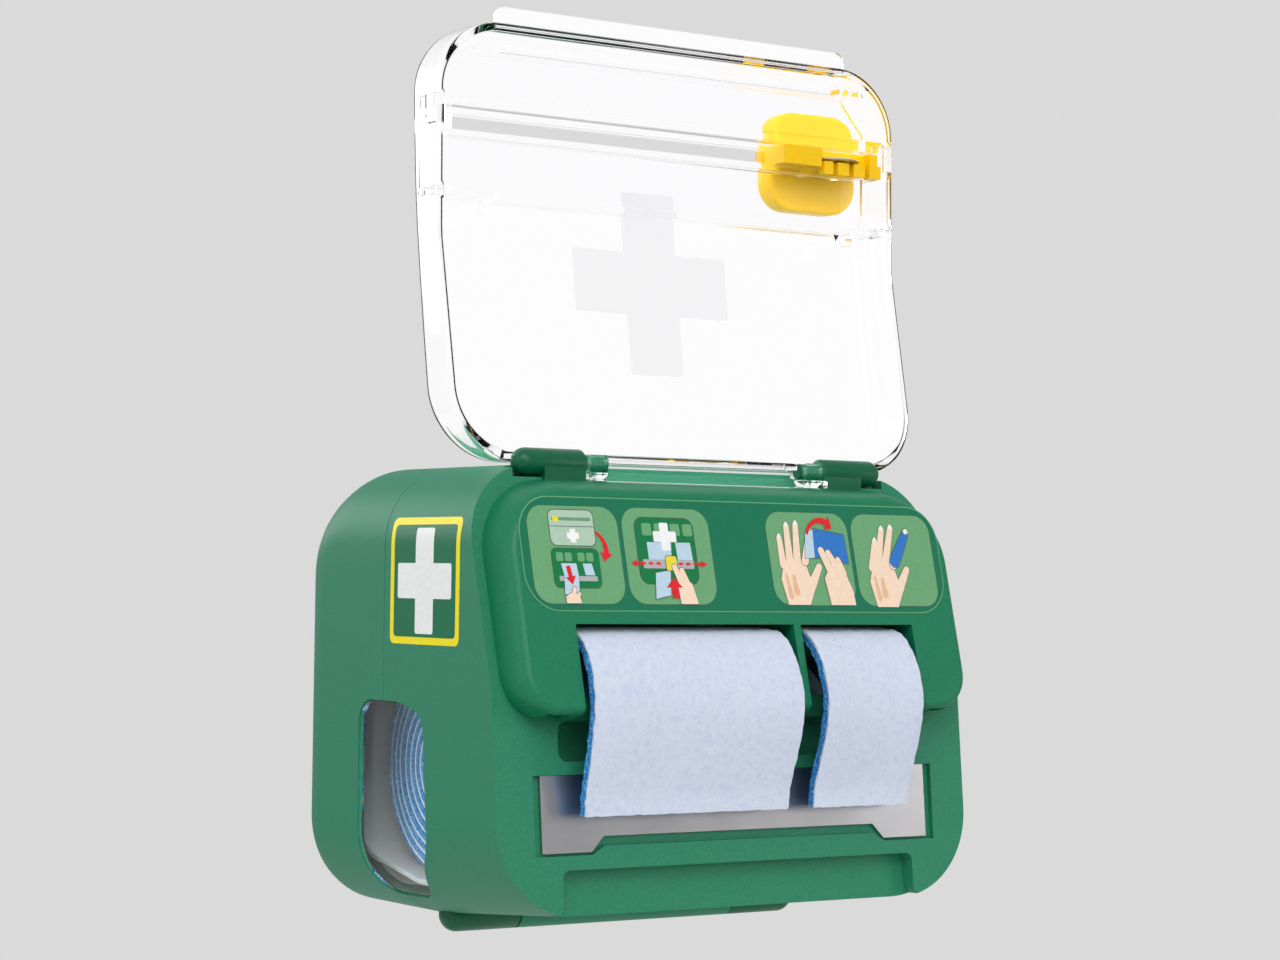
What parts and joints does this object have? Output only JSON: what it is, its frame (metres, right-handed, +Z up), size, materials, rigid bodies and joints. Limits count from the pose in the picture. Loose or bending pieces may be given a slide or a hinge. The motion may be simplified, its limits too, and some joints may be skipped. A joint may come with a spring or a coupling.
{
  "type": "bandage dispenser",
  "caption": "Wall-mounted dispenser for two foam bandage rolls, with a clear hinged lid, a sliding wheel cutter, side windows and a hinged front cover.",
  "frame": {"origin": "centre of the four wall screws, on the wall face", "axes": "+X to the right as the user sees it, +Y into the wall, +Z up"},
  "size_m": [0.1442, 0.1121, 0.2315],
  "materials": {
    "green_plastic": "fine sand texture, mid green",
    "dark_green_plastic": "finely textured moulded plastic, deeper green",
    "clear_plastic": "clear moulded plastic, polished",
    "yellow_plastic": "glossy yellow moulding",
    "steel": "brushed stainless steel",
    "grey_plastic": "plain grey moulding",
    "foam_bandage": "white fleece on blue foam",
    "label": "printed film, satin",
    "sticker": "printed film, satin",
    "white_print": "translucent white print"
  },
  "bodies": {
    "housing": {"rear_shell": "green_plastic", "roll_tray": "grey_plastic", "roll_dividers": "grey_plastic", "window_left": "clear_plastic", "window_right": "clear_plastic", "cover_hinge_rod": "steel", "cover_catches": "grey_plastic"},
    "cover": {"front_shell": "green_plastic", "hood": "dark_green_plastic", "cutting_plate": "steel", "instruction_label": "label", "side_sticker": "sticker", "wide_strip": "foam_bandage", "narrow_strip": "foam_bandage", "lid_hinge_pins": "dark_green_plastic"},
    "lid": {"lid_shell": "clear_plastic", "cutter_guide": "clear_plastic", "lid_cross": "white_print"},
    "cutter": {"cutter_carriage": "yellow_plastic", "cutter_knob": "yellow_plastic", "wheel_pin": "steel"},
    "wheel": {"cutting_wheel": "steel"},
    "wide_bandage_roll": {"wide_roll": "foam_bandage"},
    "narrow_bandage_roll": {"narrow_roll": "foam_bandage"}
  },
  "joints": [
    {"name": "cover_hinge", "type": "hinge", "parent": "housing", "child": "cover", "pos_m": [0, -0.049, -0.0589], "axis": [1, 0, 0], "range_deg": [0, 85]},
    {"name": "lid_hinge", "type": "hinge", "parent": "cover", "child": "lid", "pos_m": [0, -0.083, 0.0547], "axis": [1, 0, 0], "range_deg": [0, 175.5], "deforming": ["wide_strip", "narrow_strip"]},
    {"name": "cutter_slide", "type": "slide", "parent": "lid", "child": "cutter", "axis": [-1, 0, 0], "range_m": [0, 0.104]},
    {"name": "wheel_spin", "type": "hinge", "parent": "cutter", "child": "wheel", "pos_m": [0.056, -0.0631, 0.1398], "axis": [0, 0, 1], "continuous": true},
    {"name": "wide_roll_turn", "type": "hinge", "parent": "housing", "child": "wide_bandage_roll", "pos_m": [0, -0.0505, -0.0208], "axis": [1, 0, 0], "continuous": true},
    {"name": "narrow_roll_turn", "type": "hinge", "parent": "housing", "child": "narrow_bandage_roll", "pos_m": [0, -0.0505, -0.0208], "axis": [1, 0, 0], "continuous": true}
  ]
}
